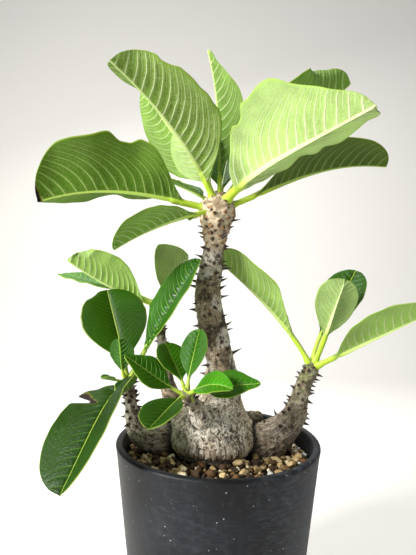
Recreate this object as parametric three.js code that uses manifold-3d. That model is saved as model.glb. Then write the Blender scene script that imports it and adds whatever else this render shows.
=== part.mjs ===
// A potted pachypodium: a swollen, thorny stem with leafy crowns, growing in grit in a round tapered pot.
// Millimetres, +Z up. The origin is the centre of the pot's base, and the plant's front faces -Y.
import * as THREE from "three";
import { mergeVertices } from "three/addons/utils/BufferGeometryUtils.js";
import Module from "manifold-3d";

const wasm = await Module();
wasm.setup();

// ---- Driving dimensions ----
const GAP = 0.3; // clearance between touching pieces

const RIM_RADIUS = 60;
const BASE_RADIUS = 46;
const POT_HEIGHT = 115;
const POT_WALL = 4.2;
const POT_FLOOR = 6;
const RIM_ROUND = 1.6; // radius of the rim's rounded edges
const POT_SIDES = 64;
const ROUND_STEPS = 3;

const DRAIN_RADIUS = 4.5;
const DRAIN_RING = 17; // the drain holes' distance from the pot's axis
const DRAIN_COUNT = 4;
const DRAIN_SIDES = 20;

const MIX_DROP = 9; // from the rim down to the potting mix
const MIX_TOP = POT_HEIGHT - MIX_DROP;
const MIX_MOUND = 2; // how much higher the mix is in the middle
const MIX_BUMP = 0.7; // height of the lumps in its surface
const MIX_BUMP_X = 2.1; // their pitch along X and along Y
const MIX_BUMP_Y = 2.3;
const MIX_CALM = 6; // how far in from the pot the lumps reach their full height
const MIX_RINGS = [0.92, 0.84, 0.75, 0.66, 0.55, 0.4, 0.2, 0];
const MIX_SIDES = 48;

const STONE_LUMP = 0.12; // how lumpy the loose stones are, as a share of their radius
const STONE_RIPPLE = 3; // how close together their lumps are
const STONE_EDGE = 0.75; // how far they keep from the pot, as a share of their size
const STONE_BURIAL = 0.7; // the height of their middle over the mix, as a share of their half-height

const THORN_LENGTH = 4;
const THORN_RADIUS = 0.9;
const THORN_SIDES = 5;
const THORN_ROOT = 1.5; // how deep a thorn is rooted in the bark
const THORN_LEAN = 0.2; // how far thorns lean towards the crown
const THORN_VARIETY = 0.25; // how much longer or shorter a thorn may be, as a share of its length
const LIMB_SIDES = 12;
const RINGS_PER_POINT = 2; // rings of a limb's skin for each point it is drawn through
const DOME_RINGS = 3; // rings over a crown

const LEAF_THICKNESS = 0.9;
const LEAF_SIZE = 1; // grows or shrinks every leaf alike
const STALK_GAP = 0.5; // from the bark to a leaf's stalk

// The limbs and leaves are drawn for a pot this wide, and grow with the pot.
const DRAWN_RIM_RADIUS = 60;
const PLANT_SIZE = RIM_RADIUS / DRAWN_RIM_RADIUS;

// ---- Colours ----
const COLOURS = {
  pot: { color: 0x26282b, roughness: 0.55, metalness: 0 },
  mix: { color: 0x5a3d24, roughness: 0.95, metalness: 0 },
  bark: { color: 0x8c7b66, roughness: 0.85, metalness: 0 },
  leaf: { color: 0x4f7d2a, roughness: 0.45, metalness: 0 },
  pumice: { color: 0xd8c39a, roughness: 0.9, metalness: 0 },
  akadama: { color: 0x7a4a24, roughness: 0.95, metalness: 0 },
  quartz: { color: 0xd9dcdc, roughness: 0.6, metalness: 0 },
};

const plant = new THREE.Group();

function add(name, geometry, colour) {
  const mesh = new THREE.Mesh(geometry, new THREE.MeshStandardMaterial(COLOURS[colour]));
  mesh.name = name;
  plant.add(mesh);
  return mesh;
}

// ---- Solids ----

// A closed skin over rings of equal length, with a fan over each end.
function skin(rings) {
  const size = rings[0].length;
  const last = rings.length - 1;
  const middle = (ring) =>
    ring.reduce((sum, p) => sum.add(p), new THREE.Vector3()).divideScalar(size);
  const points = [...rings.flat(), middle(rings[0]), middle(rings[last])];
  const startCap = points.length - 2;
  const endCap = points.length - 1;
  const faces = [];
  for (let i = 0; i < last; i++) {
    for (let j = 0; j < size; j++) {
      const a = i * size + j;
      const b = i * size + ((j + 1) % size);
      faces.push(a, b, a + size, b, b + size, a + size);
    }
  }
  for (let j = 0; j < size; j++) {
    const next = (j + 1) % size;
    faces.push(startCap, next, j);
    faces.push(endCap, last * size + j, last * size + next);
  }
  const geometry = new THREE.BufferGeometry().setFromPoints(points);
  geometry.setIndex(faces);
  return geometry;
}

// A solid turned about Z from [radius, height] points.
function turned(profile, sides) {
  const points = profile.map(([r, z]) => new THREE.Vector2(r, z));
  return new THREE.LatheGeometry(points, sides).rotateX(Math.PI / 2);
}

function solid(geometry) {
  const bare = new THREE.BufferGeometry();
  bare.setAttribute("position", geometry.getAttribute("position"));
  if (geometry.index) bare.setIndex(geometry.index);
  const merged = mergeVertices(bare, 1e-4);
  return new wasm.Manifold(
    new wasm.Mesh({
      numProp: 3,
      vertProperties: new Float32Array(merged.attributes.position.array),
      triVerts: new Uint32Array(merged.index.array),
    }),
  );
}

function fromSolid(manifold) {
  const mesh = manifold.getMesh();
  const geometry = new THREE.BufferGeometry();
  geometry.setAttribute("position", new THREE.BufferAttribute(mesh.vertProperties, 3));
  geometry.setIndex(new THREE.BufferAttribute(mesh.triVerts, 1));
  return geometry;
}

const smooth = (a, b, x) => THREE.MathUtils.smoothstep(x, a, b);
const { degToRad: radians, lerp } = THREE.MathUtils;

// A repeatable number from 0 to 1 for each whole-number seed.
const chance = (seed) => {
  const x = Math.sin(seed * 127.1 + 11.7) * 43758.5453;
  return x - Math.floor(x);
};

// ---- Pot ----

const outerRadius = (z) => lerp(BASE_RADIUS, RIM_RADIUS, z / POT_HEIGHT);
const innerRadius = (z) => outerRadius(z) - POT_WALL;

function quarterRound(cx, cz, from) {
  return Array.from({ length: ROUND_STEPS + 1 }, (_, i) => {
    const angle = from + (i / ROUND_STEPS) * (Math.PI / 2);
    return [cx + RIM_ROUND * Math.cos(angle), cz + RIM_ROUND * Math.sin(angle)];
  });
}

function pot() {
  const edge = POT_HEIGHT - RIM_ROUND;
  const profile = [
    [0, 0],
    [BASE_RADIUS - RIM_ROUND, 0],
    [outerRadius(RIM_ROUND), RIM_ROUND],
    ...quarterRound(RIM_RADIUS - RIM_ROUND, edge, 0),
    ...quarterRound(RIM_RADIUS - POT_WALL + RIM_ROUND, edge, Math.PI / 2),
    [innerRadius(POT_FLOOR), POT_FLOOR],
    [0, POT_FLOOR],
  ];
  const body = solid(turned(profile, POT_SIDES));
  const holes = Array.from({ length: DRAIN_COUNT }, (_, i) => {
    const angle = (i / DRAIN_COUNT) * 2 * Math.PI + Math.PI / DRAIN_COUNT;
    const hole = new THREE.CylinderGeometry(DRAIN_RADIUS, DRAIN_RADIUS, 3 * POT_FLOOR, DRAIN_SIDES);
    hole.rotateX(Math.PI / 2);
    hole.translate(DRAIN_RING * Math.cos(angle), DRAIN_RING * Math.sin(angle), POT_FLOOR / 2);
    return solid(hole);
  });
  return fromSolid(holes.reduce((rest, hole) => rest.subtract(hole), body));
}

// ---- Stem ----
// Each limb runs through [x, y, height above the mix, radius] points, up to the middle of its crown.
const LIMBS = {
  trunk: [
    [-2, 4, -32, 5],
    [-3, 4, -18, 14],
    [-4, 4, -6, 23],
    [-5, 4, 4, 26.5],
    [-5, 4, 13, 25],
    [-4, 4, 22, 20],
    [-1, 4, 31, 14.5],
    [1, 4, 40, 10.5],
    [1, 4, 52, 8.6],
    [-3, 4, 68, 8.7],
    [-7, 3, 88, 8.4],
    [-7, 2, 103, 7.6],
    [-5, 2, 116, 6.6],
    [-4, 1, 128, 6.7],
    [-3, 0, 138, 8],
    [-2, 0, 146, 8.6],
  ],
  right: [
    [10, 3, 2, 16],
    [22, 2, 5, 14],
    [33, 2, 9, 12],
    [41, 3, 15, 9.5],
    [47, 3, 24, 7],
    [50, 4, 34, 5.2],
    [53, 4, 43, 4.6],
    [57, 5, 50, 4.6],
  ],
  left: [
    [-20, 2, 5, 11],
    [-32, 0, 7, 9.5],
    [-42, -3, 9, 8.5],
    [-48, -5, 15, 6.2],
    [-51, -6, 24, 4],
    [-52, -7, 33, 3.2],
    [-54, -8, 41, 3.6],
  ],
  middle: [
    [-18, 12, 10, 9],
    [-27, 17, 20, 7],
    [-33, 21, 33, 5.2],
    [-37, 24, 48, 4],
    [-39, 26, 64, 3.2],
    [-41, 28, 78, 3.4],
    [-42, 29, 86, 4],
  ],
  front: [
    [-6, -4, 17, 10],
    [-9, -13, 22, 7.6],
    [-12, -21, 31, 4.6],
    [-15, -28, 37, 3.3],
    [-17, -32, 41, 3.4],
  ],
  stub: [
    [12, 8, 13, 6],
    [19, 9, 15, 4.6],
    [23, 9, 16, 3.8],
  ],
};

const limbPoint = ([x, y, h]) =>
  new THREE.Vector3(x, y, h).multiplyScalar(PLANT_SIZE).add(new THREE.Vector3(0, 0, MIX_TOP));

// A limb's centre line and radius at t, from 0 at its root to 1 at its crown.
function limbShape(points) {
  const line = new THREE.CatmullRomCurve3(points.map(limbPoint), false, "centripetal");
  const radii = new THREE.CatmullRomCurve3(points.map((p) => new THREE.Vector3(p[3], 0, 0)));
  return {
    at: (t) => line.getPoint(t),
    along: (t) => line.getTangent(t),
    radius: (t) => radii.getPoint(t).x * PLANT_SIZE,
  };
}

// Rings round a limb, swollen by extra, closed off by a dome over its crown.
function limbSolid(points, extra) {
  const shape = limbShape(points);
  const steps = (points.length - 1) * RINGS_PER_POINT;
  const rings = [];
  const side = new THREE.Vector3(0, 1, 0);
  const ring = (centre, along, radius) => {
    side.addScaledVector(along, -side.dot(along)).normalize();
    const across = new THREE.Vector3().crossVectors(along, side);
    return Array.from({ length: LIMB_SIDES }, (_, j) => {
      const angle = (j / LIMB_SIDES) * 2 * Math.PI;
      return centre
        .clone()
        .addScaledVector(side, radius * Math.cos(angle))
        .addScaledVector(across, radius * Math.sin(angle));
    });
  };
  for (let i = 0; i <= steps; i++) {
    const t = i / steps;
    rings.push(ring(shape.at(t), shape.along(t), shape.radius(t) + extra));
  }
  for (let i = 1; i <= DOME_RINGS; i++) {
    const angle = (i / (DOME_RINGS + 1)) * (Math.PI / 2);
    const radius = shape.radius(1) + extra;
    const centre = shape.at(1).addScaledVector(shape.along(1), radius * Math.sin(angle));
    rings.push(ring(centre, shape.along(1), radius * Math.cos(angle)));
  }
  return solid(skin(rings));
}

// Thorns in a spiral up a limb, from t = from to its crown.
function thorns(points, from, count, length) {
  const shape = limbShape(points);
  const goldenAngle = Math.PI * (3 - Math.sqrt(5));
  return Array.from({ length: count }, (_, i) => {
    const t = from + (1 - from) * Math.sqrt((i + 0.5) / count);
    const along = shape.along(t);
    const side = new THREE.Vector3(0, 1, 0).cross(along).normalize();
    const out = side.applyAxisAngle(along, i * goldenAngle);
    out.addScaledVector(along, THORN_LEAN).normalize();
    const variety = lerp(1 - THORN_VARIETY, 1 + THORN_VARIETY, chance(i + count));
    const reach = length * PLANT_SIZE * variety;
    const cone = new THREE.ConeGeometry(THORN_RADIUS, reach + THORN_ROOT, THORN_SIDES);
    cone.applyQuaternion(new THREE.Quaternion().setFromUnitVectors(new THREE.Vector3(0, 1, 0), out));
    const middle = shape.at(t).addScaledVector(out, shape.radius(t) + (reach - THORN_ROOT) / 2);
    return solid(cone.translate(middle.x, middle.y, middle.z));
  });
}

// Where each limb's thorns start, as a share of its length, how many there are and their length.
const THORNS = {
  trunk: [0.56, 34, THORN_LENGTH],
  right: [0.45, 16, THORN_LENGTH * 0.8],
  left: [0.55, 9, THORN_LENGTH * 0.8],
  middle: [0.3, 14, THORN_LENGTH * 0.75],
  front: [0.6, 4, THORN_LENGTH * 0.6],
};

function stemSolid(extra) {
  const limbs = Object.values(LIMBS).map((points) => limbSolid(points, extra));
  return limbs.reduce((whole, limb) => whole.add(limb));
}

function stem() {
  const spikes = Object.entries(THORNS).flatMap(([limb, [from, count, length]]) =>
    thorns(LIMBS[limb], from, count, length),
  );
  return fromSolid(spikes.reduce((whole, spike) => whole.add(spike), stemSolid(0)));
}

// ---- Leaves ----
// A leaf springs from the crown of its limb. Its tip lies at heading (degrees from +X, anticlockwise
// from above), rise (degrees above level) and length from the crown's middle. Its stalk leaves the crown
// at the rise of launch and at heading plus turn. arch and sway bow the midrib up and to its left, and
// roll turns the blade about the midrib, left side up. fold is how far each half stands up from flat, and
// wave is the height of the margin's ripples. stalk is the stalk's share of the length. The blade is
// widest at that share of its own length, and a smaller taper fills out its foot.
const LEAF_DEFAULTS = {
  turn: 0,
  arch: 0,
  sway: 0,
  roll: 0,
  wave: 0,
  stalk: 0.16,
  stalkRadius: 1.5,
  widest: 0.6,
  taper: 1.15,
};

const LEAVES = {
  leaf_top_left: {
    limb: "trunk", heading: -166, rise: -1, length: 104, width: 68,
    launch: 8, arch: 14, roll: 30, fold: 38, wave: 2, stalkRadius: 2.2, widest: 0.55,
  },
  leaf_top_left_raised: {
    limb: "trunk", heading: -138, rise: 41, length: 99, width: 54,
    launch: 48, turn: 15, arch: 9, roll: -3, fold: 40, stalk: 0.12, stalkRadius: 2, widest: 0.45,
  },
  leaf_top_left_behind: {
    limb: "trunk", heading: 154, rise: 56, length: 108, width: 58,
    launch: 60, turn: -15, roll: 68, fold: 12, widest: 0.55,
  },
  leaf_top_small: {
    limb: "trunk", heading: 174, rise: 63, length: 59, width: 34,
    launch: 70, turn: 20, roll: 60, fold: 8,
  },
  leaf_top_upright: {
    limb: "trunk", heading: -142, rise: 84, length: 97, width: 36,
    launch: 78, turn: -140, sway: 9, roll: -35, fold: 35, widest: 0.5,
  },
  leaf_top_right_near: {
    limb: "trunk", heading: -48, rise: 17, length: 106, width: 71,
    launch: 35, arch: 2, roll: -18, fold: 34, wave: 2, stalk: 0.12, stalkRadius: 2.8, widest: 0.48,
    taper: 0.85,
  },
  leaf_top_right_raised: {
    limb: "trunk", heading: 18, rise: 45, length: 132, width: 58,
    launch: 60, roll: -20, fold: 40,
  },
  leaf_top_right: {
    limb: "trunk", heading: 5, rise: 16, length: 110, width: 50,
    launch: 22, arch: 14, roll: -5, fold: 25, stalkRadius: 2,
  },
  leaf_top_left_low: {
    limb: "trunk", heading: -161, rise: -24, length: 68, width: 38,
    launch: -14, turn: 22, arch: 4, fold: 36,
  },
  leaf_top_back: {
    limb: "trunk", heading: 79, rise: 53, length: 76, width: 46,
    launch: 60, fold: 20,
  },
  leaf_top_back_left: {
    limb: "trunk", heading: 145, rise: 30, length: 44, width: 22,
    launch: 40, fold: 20,
  },
  leaf_top_back_low: {
    limb: "trunk", heading: 150, rise: -13, length: 22, width: 12,
    launch: -5, fold: 20,
  },

  leaf_middle_left: {
    limb: "middle", heading: -157, rise: 25, length: 66, width: 42,
    launch: 15, arch: -4, roll: 22, fold: 40, stalk: 0.1,
  },
  leaf_middle_back_left: {
    limb: "middle", heading: 166, rise: 15, length: 80, width: 36,
    launch: 25, roll: -8, fold: 10,
  },
  leaf_middle_right: {
    limb: "middle", heading: 37, rise: 57, length: 43, width: 42,
    launch: 70, roll: -55, fold: 15, stalk: 0.1,
  },

  leaf_left_up: {
    limb: "left", heading: 131, rise: 62, length: 62, width: 41,
    launch: 75, roll: -22, fold: 12, widest: 0.62,
  },
  leaf_left_long: {
    limb: "left", heading: -3, rise: 60, length: 85, width: 38,
    launch: 64, roll: 32, fold: 18, stalk: 0.25, widest: 0.55,
  },
  leaf_left_young: {
    limb: "left", heading: -120, rise: 74, length: 28, width: 16,
    launch: 60, roll: 20, fold: 18, stalk: 0.2, stalkRadius: 0.9,
  },
  leaf_left_bud: {
    limb: "left", heading: -140, rise: 16, length: 17, width: 8,
    launch: 20, turn: -20, fold: 30, stalkRadius: 0.8,
  },
  leaf_left_hanging: {
    limb: "left", heading: -109, rise: -36, length: 69, width: 50,
    launch: -5, arch: 3, roll: 20, fold: 22, stalk: 0.05, stalkRadius: 1.4, widest: 0.58, taper: 0.5,
  },

  leaf_front_left: {
    limb: "front", heading: -166, rise: 33, length: 39, width: 20,
    launch: 25, roll: -40, fold: 10, stalkRadius: 0.9, widest: 0.5,
  },
  leaf_front_back_left: {
    limb: "front", heading: 134, rise: 52, length: 32, width: 22,
    launch: 60, fold: 10, stalkRadius: 0.9,
  },
  leaf_front_up: {
    limb: "front", heading: 61, rise: 70, length: 36, width: 17,
    launch: 78, fold: 10, stalkRadius: 0.9,
  },
  leaf_front_near: {
    limb: "front", heading: -35, rise: 14, length: 30, width: 17,
    launch: 30, arch: 5, roll: 32, fold: 12, stalk: 0.08, stalkRadius: 0.9, widest: 0.5,
  },
  leaf_front_right: {
    limb: "front", heading: -10, rise: 12, length: 40, width: 20,
    launch: 20, turn: 30, roll: 35, fold: 10, stalkRadius: 0.9, widest: 0.5,
  },
  leaf_front_low: {
    limb: "front", heading: -119, rise: -17, length: 33, width: 23,
    launch: -5, fold: 20, stalk: 0.08, stalkRadius: 0.9,
  },

  leaf_right_long: {
    limb: "right", heading: 167, rise: 47, length: 96, width: 40,
    launch: 62, arch: 5, roll: 12, fold: 40, wave: 1, stalk: 0.22, stalkRadius: 1.7,
  },
  leaf_right_round: {
    limb: "right", heading: -27, rise: 70, length: 58, width: 28,
    launch: 66, roll: -50, fold: 8, stalk: 0.33, stalkRadius: 1.7, widest: 0.68,
  },
  leaf_right_back: {
    limb: "right", heading: 24, rise: 61, length: 70, width: 28,
    launch: 64, turn: 40, roll: 30, fold: 10, stalk: 0.3, stalkRadius: 1.4, widest: 0.66,
  },
  leaf_right_far: {
    limb: "right", heading: -40, rise: 29, length: 81, width: 38,
    launch: 30, fold: 35, stalk: 0.18, stalkRadius: 1.8,
  },
};

const BLADE_STATIONS = [0, 0.07, 0.17, 0.28, 0.4, 0.52, 0.64, 0.75, 0.85, 0.93, 0.98, 1];
const STALK_STATIONS = 3;
const TIP_ROUNDNESS = 2.2; // the power in the tip's outline, which is 2 for an ellipse
const OPENING = 0.12; // the share of the blade over which the stalk opens out into it
const ROLL_IN = 0.05; // how far past the stalk the blade's roll is complete
const RIB_TAPER = 0.4; // how much of its width the midrib loses from foot to tip
const HALFWAY = 0.5; // where, from midrib to margin, each half's skin has its inner row of points
const RIPPLES = 2.5;
const KNEE = 0.25; // how far the midrib keeps to its launch, as a share of its length
const SHOULDER = 0.4; // how far back from the tip the midrib's bow is felt

// Half the blade's width at u, from 0 at its foot to 1 at its tip, as a share of its widest.
const bladeOutline = (u, { widest, taper }) =>
  u < widest
    ? Math.sin((u / widest) * (Math.PI / 2)) ** taper
    : Math.sqrt(1 - ((u - widest) / (1 - widest)) ** TIP_ROUNDNESS);

// The unit vector towards a heading and a rise, both in degrees.
function direction(heading, rise) {
  const [h, r] = [radians(heading), radians(rise)];
  return new THREE.Vector3(Math.cos(h) * Math.cos(r), Math.sin(h) * Math.cos(r), Math.sin(r));
}

function leafGeometry(given) {
  const leaf = { ...LEAF_DEFAULTS, ...given };
  const heading = radians(leaf.heading);
  const limb = limbShape(LIMBS[leaf.limb]);
  const centre = limb.at(1);
  const launch = direction(leaf.heading + leaf.turn, leaf.launch);
  const toTip = direction(leaf.heading, leaf.rise);
  const left = new THREE.Vector3(-Math.sin(heading), Math.cos(heading), 0);
  const up = new THREE.Vector3().crossVectors(toTip, left);
  const size = LEAF_SIZE * PLANT_SIZE;
  const length = leaf.length * size;
  const stalkRadius = leaf.stalkRadius * size;
  const foot = centre.clone().addScaledVector(launch, limb.radius(1) + STALK_GAP);
  const tip = centre.clone().addScaledVector(toTip, length);
  const knee = foot.clone().addScaledVector(launch, length * KNEE);
  const shoulder = tip
    .clone()
    .lerp(foot, SHOULDER)
    .addScaledVector(up, leaf.arch * size)
    .addScaledVector(left, leaf.sway * size);
  const midrib = new THREE.CubicBezierCurve3(foot, knee, shoulder, tip);

  const stations = [];
  for (let i = 0; i < STALK_STATIONS; i++) stations.push((leaf.stalk * i) / STALK_STATIONS);
  for (const u of BLADE_STATIONS) stations.push(leaf.stalk + (1 - leaf.stalk) * u);

  const rings = stations.map((t) => {
    const u = Math.max(0, (t - leaf.stalk) / (1 - leaf.stalk));
    const along = midrib.getTangent(t);
    const side = left.clone().addScaledVector(along, -left.dot(along)).normalize();
    const roll = radians(leaf.roll) * smooth(0, leaf.stalk + ROLL_IN, t);
    side.applyAxisAngle(along, roll);
    const normal = new THREE.Vector3().crossVectors(along, side);
    const opened = smooth(0, OPENING, u);
    const half = Math.max(
      stalkRadius * (1 - RIB_TAPER * u),
      (leaf.width / 2) * size * bladeOutline(u, leaf),
    );
    const skinHalf = LEAF_THICKNESS / 2;
    const ridge = lerp(stalkRadius, skinHalf, smooth(0, 1, u));
    const crest = lerp(stalkRadius, skinHalf, opened);
    const web = lerp(stalkRadius * Math.SQRT1_2, skinHalf, opened);
    const place = (s) => {
      const bend = radians(leaf.fold) * opened;
      const ripple = leaf.wave * size * opened * s * s * Math.sin(2 * Math.PI * RIPPLES * u + s);
      return [s * half * Math.cos(bend), Math.abs(s) * half * Math.sin(bend) + ripple];
    };
    const inner = lerp(Math.SQRT1_2, HALFWAY, opened);
    const outline = [
      [0, crest],
      [-inner, web],
      [-1, 0],
      [-inner, -web],
      [0, -ridge],
      [inner, -web],
      [1, 0],
      [inner, web],
    ];
    const middle = midrib.getPoint(t);
    return outline.map(([s, lift]) => {
      const [x, z] = place(s);
      return middle.clone().addScaledVector(side, x).addScaledVector(normal, z + lift);
    });
  });
  return skin(rings);
}

// ---- Potting mix and loose stones ----

// Each larger stone on the mix: how far out it lies, as a share of the mix's radius less the stone's
// size, then its angle from +X, its size, its flatness and its kind.
const STONES = [
  [1, -168, 5, 0.7, "pumice"],
  [0.92, -152, 4.6, 0.75, "pumice"],
  [0.91, -137, 5.2, 0.7, "pumice"],
  [1, -122, 4.4, 0.7, "pumice"],
  [0.78, -119, 4.8, 0.75, "pumice"],
  [1, -95, 4.6, 0.7, "pumice"],
  [0.87, -84, 4.4, 0.9, "akadama"],
  [0.96, -72, 4.2, 0.8, "akadama"],
  [0.95, -56, 5.4, 0.7, "pumice"],
  [0.82, -48, 4, 0.7, "quartz"],
  [1, -38, 4.2, 0.75, "pumice"],
  [1, -5, 4, 0.6, "quartz"],
  [0.95, 30, 4.6, 0.8, "akadama"],
  [0.9, 75, 5, 0.75, "pumice"],
  [0.96, 120, 4.8, 0.8, "akadama"],
  [0.9, 155, 4.6, 0.7, "pumice"],
];

const mixRadius = innerRadius(MIX_TOP) - GAP;

// A lumpy pebble of radius 1, different for each index.
function pebble(index) {
  const geometry = new THREE.IcosahedronGeometry(1, 1);
  const position = geometry.getAttribute("position");
  const point = new THREE.Vector3();
  for (let i = 0; i < position.count; i++) {
    point.fromBufferAttribute(position, i);
    const lump =
      Math.sin(STONE_RIPPLE * point.x + index) + Math.sin(STONE_RIPPLE * point.y + 2 * index);
    point.multiplyScalar(1 + STONE_LUMP * lump);
    position.setXYZ(i, point.x, point.y, point.z);
  }
  return geometry;
}

// The stone at that index in the list, swollen by extra.
function stone(index, extra) {
  const [share, angle, size, flatness] = STONES[index];
  const radius = size / 2;
  const grown = radius + extra / (1 - 2 * STONE_LUMP);
  const geometry = pebble(index).scale(grown, grown, grown * flatness).rotateZ(index);
  const distance = share * (mixRadius - size * STONE_EDGE);
  const a = radians(angle);
  const height = MIX_TOP + radius * flatness * STONE_BURIAL;
  return geometry.translate(distance * Math.cos(a), distance * Math.sin(a), height);
}

function pottingMix() {
  const bottom = POT_FLOOR + GAP;
  const profile = [
    [0, bottom],
    [innerRadius(bottom) - GAP, bottom],
    [mixRadius, MIX_TOP],
    ...MIX_RINGS.map((share) => [share * mixRadius, MIX_TOP + MIX_MOUND * (1 - share * share)]),
  ];
  const heap = turned(profile, MIX_SIDES);
  const position = heap.getAttribute("position");
  for (let i = 0; i < position.count; i++) {
    const [x, y, z] = [position.getX(i), position.getY(i), position.getZ(i)];
    const bump = MIX_BUMP * Math.sin(x / MIX_BUMP_X) * Math.cos(y / MIX_BUMP_Y);
    if (z > MIX_TOP) position.setZ(i, z + bump * smooth(0, MIX_CALM, mixRadius - Math.hypot(x, y)));
  }
  let mix = solid(heap).subtract(stemSolid(GAP));
  STONES.forEach((_, i) => {
    mix = mix.subtract(solid(stone(i, GAP)));
  });
  return fromSolid(mix);
}

// ---- The whole ----

add("pot", pot(), "pot");
add("potting_mix", pottingMix(), "mix");
add("stem", stem(), "bark");
for (const [name, leaf] of Object.entries(LEAVES)) add(name, leafGeometry(leaf), "leaf");
STONES.forEach(([, , , , kind], i) => {
  add(`stone_${kind}_${String(i + 1).padStart(2, "0")}`, stone(i, 0), kind);
});

export default plant;
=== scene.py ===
"""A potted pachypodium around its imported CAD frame.

Lengths are metres. Those named _MM, and the points of pieces until mesh_piece makes them, are millimetres.
"""

import math

import bmesh
import bpy
import numpy as np
from mathutils import Matrix, Vector, kdtree, noise
from mathutils.bvhtree import BVHTree


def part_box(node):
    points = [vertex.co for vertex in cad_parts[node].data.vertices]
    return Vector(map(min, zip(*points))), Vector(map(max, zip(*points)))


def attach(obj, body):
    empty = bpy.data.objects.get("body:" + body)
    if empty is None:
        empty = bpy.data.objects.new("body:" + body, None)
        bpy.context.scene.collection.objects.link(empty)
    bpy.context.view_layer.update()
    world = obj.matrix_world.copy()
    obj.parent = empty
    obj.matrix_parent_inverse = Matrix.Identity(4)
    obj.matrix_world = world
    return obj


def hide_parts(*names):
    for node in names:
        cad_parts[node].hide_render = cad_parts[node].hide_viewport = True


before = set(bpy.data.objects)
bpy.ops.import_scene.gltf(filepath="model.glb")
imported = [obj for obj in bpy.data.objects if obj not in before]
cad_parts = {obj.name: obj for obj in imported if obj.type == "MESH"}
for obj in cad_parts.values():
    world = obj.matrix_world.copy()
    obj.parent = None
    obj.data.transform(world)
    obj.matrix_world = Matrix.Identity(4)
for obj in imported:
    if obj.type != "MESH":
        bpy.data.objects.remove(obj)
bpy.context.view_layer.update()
MM = 0.001

# ---------------------------------------------------------------- small tools


def ramp_between(low, high, x):
    """0 below low, 1 above high and smooth between them."""
    t = np.clip((x - low) / (high - low), 0, 1)
    return t * t * (3 - 2 * t)


def unit(v):
    return v / np.maximum(np.linalg.norm(v, axis=-1, keepdims=True), 1e-12)


def through(knots, values, at):
    """A smooth curve through the values at the knots, read at other places."""
    values = values.reshape(len(knots), -1)
    step = np.diff(knots)[:, None]
    slope = np.diff(values, axis=0) / step
    tangent = np.empty_like(values)
    tangent[0], tangent[-1] = slope[0], slope[-1]
    tangent[1:-1] = (slope[:-1] * step[1:] + slope[1:] * step[:-1]) / (step[:-1] + step[1:])
    i = np.clip(np.searchsorted(knots, at, side="right") - 1, 0, len(knots) - 2)
    h = step[i]
    t = (at[:, None] - knots[i][:, None]) / h
    return (
        (2 * t**3 - 3 * t**2 + 1) * values[i]
        + (t**3 - 2 * t**2 + t) * h * tangent[i]
        + (3 * t**2 - 2 * t**3) * values[i + 1]
        + (t**3 - t**2) * h * tangent[i + 1]
    )


def wander(rng, x, pitch):
    """A smooth random line of height about 1, with a bend about every pitch."""
    knots = np.arange(x.min() - 2 * pitch, x.max() + 3 * pitch, pitch)
    return through(knots, rng.uniform(-1, 1, len(knots)), x)[:, 0]


def noise_at(points, scale, octaves=4):
    """Fractal noise from about -1 to 1 at each point."""
    return np.array([noise.fractal(Vector(p) * scale, 0.8, 2.1, octaves) for p in points])


def tree_of(points):
    """A tree that finds the nearest of the points."""
    tree = kdtree.KDTree(len(points))
    for i, p in enumerate(points):
        tree.insert(Vector(p), i)
    tree.balance()
    return tree


def tube_faces(rows, columns, inward=False):
    """Faces between rows of points that each run round a tube, and over the tube's two ends."""
    index = np.arange(rows * columns).reshape(rows, columns)
    beside = np.roll(index, -1, axis=1)
    corners, ends = [index[:-1], beside[:-1], beside[1:], index[1:]], [index[0][::-1], index[-1]]
    if inward:
        corners, ends = [corners[i] for i in (0, 3, 2, 1)], [end[::-1] for end in ends]
    return np.stack(corners, axis=-1).reshape(-1, 4).tolist() + [end.tolist() for end in ends]


def linked(name, data):
    """A new object of that data in the scene."""
    made = bpy.data.objects.new(name, data)
    bpy.context.scene.collection.objects.link(made)
    return made


def dressed(data, material, attributes):
    """A mesh given its material and attributes, which map a name to three numbers for each point."""
    for key, numbers in attributes.items():
        layer = data.attributes.new(key, "FLOAT_VECTOR", "POINT")
        layer.data.foreach_set("vector", np.asarray(numbers, np.float32).ravel())
    data.polygons.foreach_set("use_smooth", [True] * len(data.polygons))
    data.materials.append(material)
    data.update()
    return data


def mesh_piece(name, points, faces, material, slot, attributes=None):
    """A mesh object of points in millimetres that rides on the root."""
    data = bpy.data.meshes.new(name)
    data.from_pydata([tuple(p) for p in np.asarray(points) * MM], [], [tuple(f) for f in faces])
    made = linked(name, dressed(data, material, attributes or {}))
    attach(made, "root")
    return made


def welded(node):
    """A bmesh of a CAD node with its split corners joined."""
    bm = bmesh.new()
    bm.from_mesh(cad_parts[node].data)
    bmesh.ops.remove_doubles(bm, verts=bm.verts, dist=1e-6)
    bm.verts.ensure_lookup_table()
    bm.verts.index_update()
    return bm


# ---------------------------------------------------------------- shader tools


def rgb(text, factor=1.0):
    """The linear colour of a hex code, made darker or lighter by the factor."""
    parts = [int(text[i : i + 2], 16) / 255 for i in (0, 2, 4)]
    linear = [c / 12.92 if c <= 0.04045 else ((c + 0.055) / 1.055) ** 2.4 for c in parts]
    return tuple(min(c * factor, 1) for c in linear)


class Wire:
    """A value in a material. Sums with it add the nodes that work them out."""

    def __init__(self, paint, socket):
        self.paint, self.socket = paint, socket

    def math(self, operation, *others):
        return self.paint.node("ShaderNodeMath", enumerate((self, *others)), operation=operation)

    def __mul__(self, other):
        return self.math("MULTIPLY", other)

    def __add__(self, other):
        return self.math("ADD", other)

    def __sub__(self, other):
        return self.math("SUBTRACT", other)

    def __rsub__(self, number):
        return self.paint.node("ShaderNodeMath", {0: number, 1: self}, operation="SUBTRACT")

    def most(self, other):
        return self.math("MAXIMUM", other)

    def spot(self, low, high):
        """0 where it is under low, 1 where it is over high, or the other way round if low is more."""
        if low > high:
            return 1.0 - self.spot(high, low)
        inputs = {"Value": self, "From Min": low, "From Max": high}
        return self.paint.node("ShaderNodeMapRange", inputs, interpolation_type="SMOOTHSTEP")


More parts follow.
